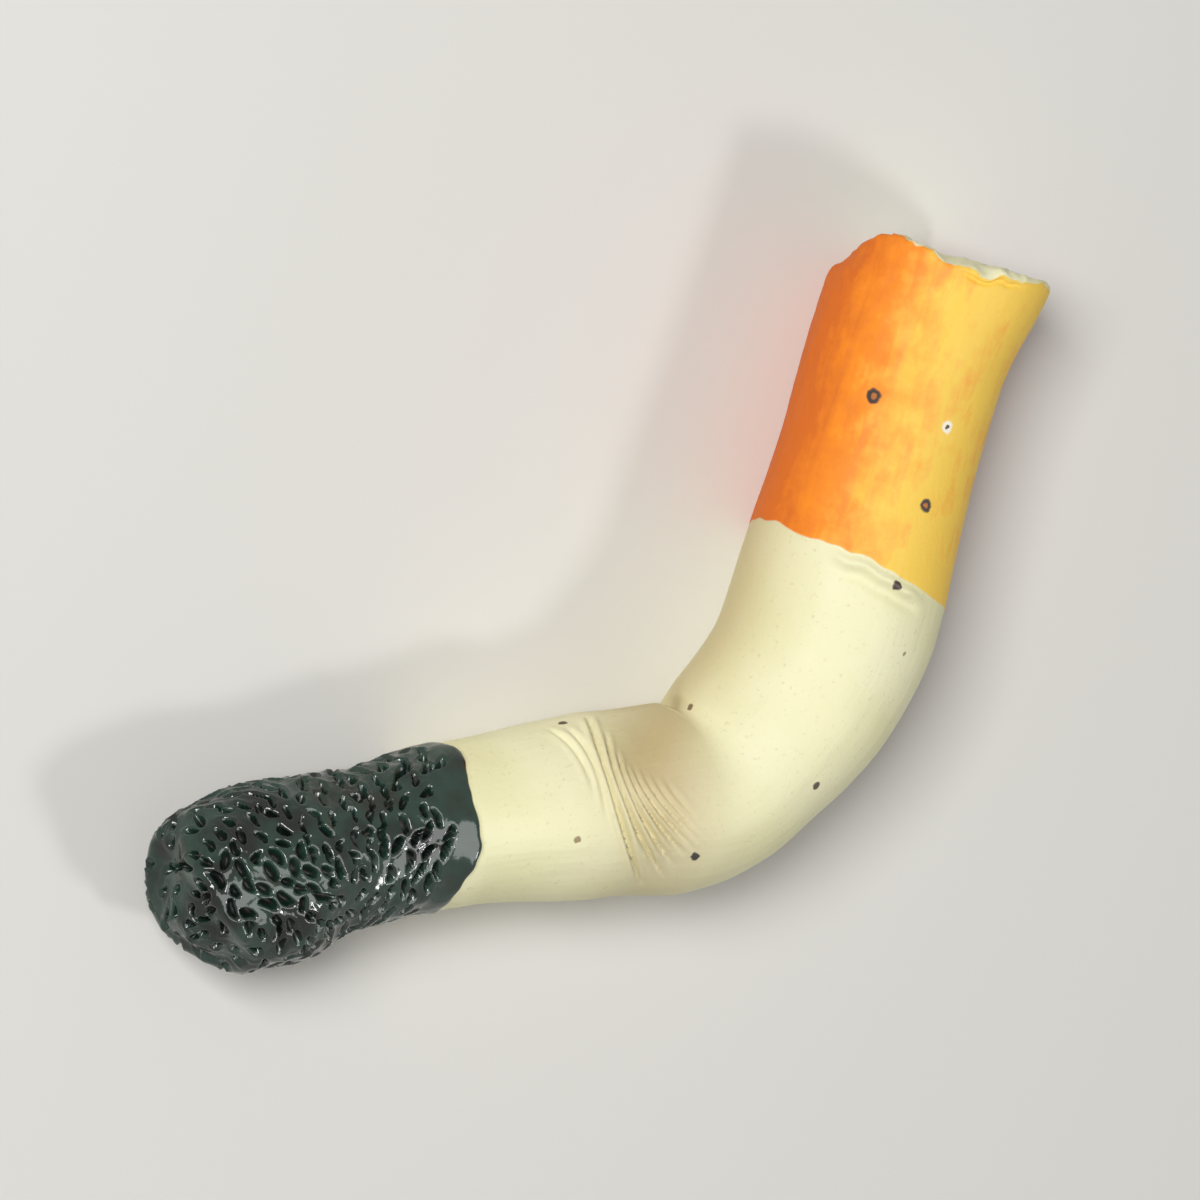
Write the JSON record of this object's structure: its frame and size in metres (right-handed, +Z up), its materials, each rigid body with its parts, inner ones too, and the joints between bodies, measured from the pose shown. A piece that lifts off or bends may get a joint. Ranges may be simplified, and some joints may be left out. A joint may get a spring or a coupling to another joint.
{
  "type": "ceramic cigarette butt",
  "caption": "Hand-modelled ceramic cigarette butt, bent at a pinched elbow, with a pitted black tip, pale body and torn orange filter end.",
  "frame": {"origin": "under the middle of its box, on the surface that it rests on", "axes": "+Z up, square to the plane of the bend; +X along the lower arm towards the burnt tip; the filter end points towards -Y"},
  "size_m": [0.0422, 0.0272, 0.0091],
  "materials": {
    "stoneware": "satin cream stoneware with an orange underglaze filter and a glossy black glazed tip"
  },
  "bodies": {
    "root": {"clay_butt": "stoneware"}
  },
  "joints": []
}
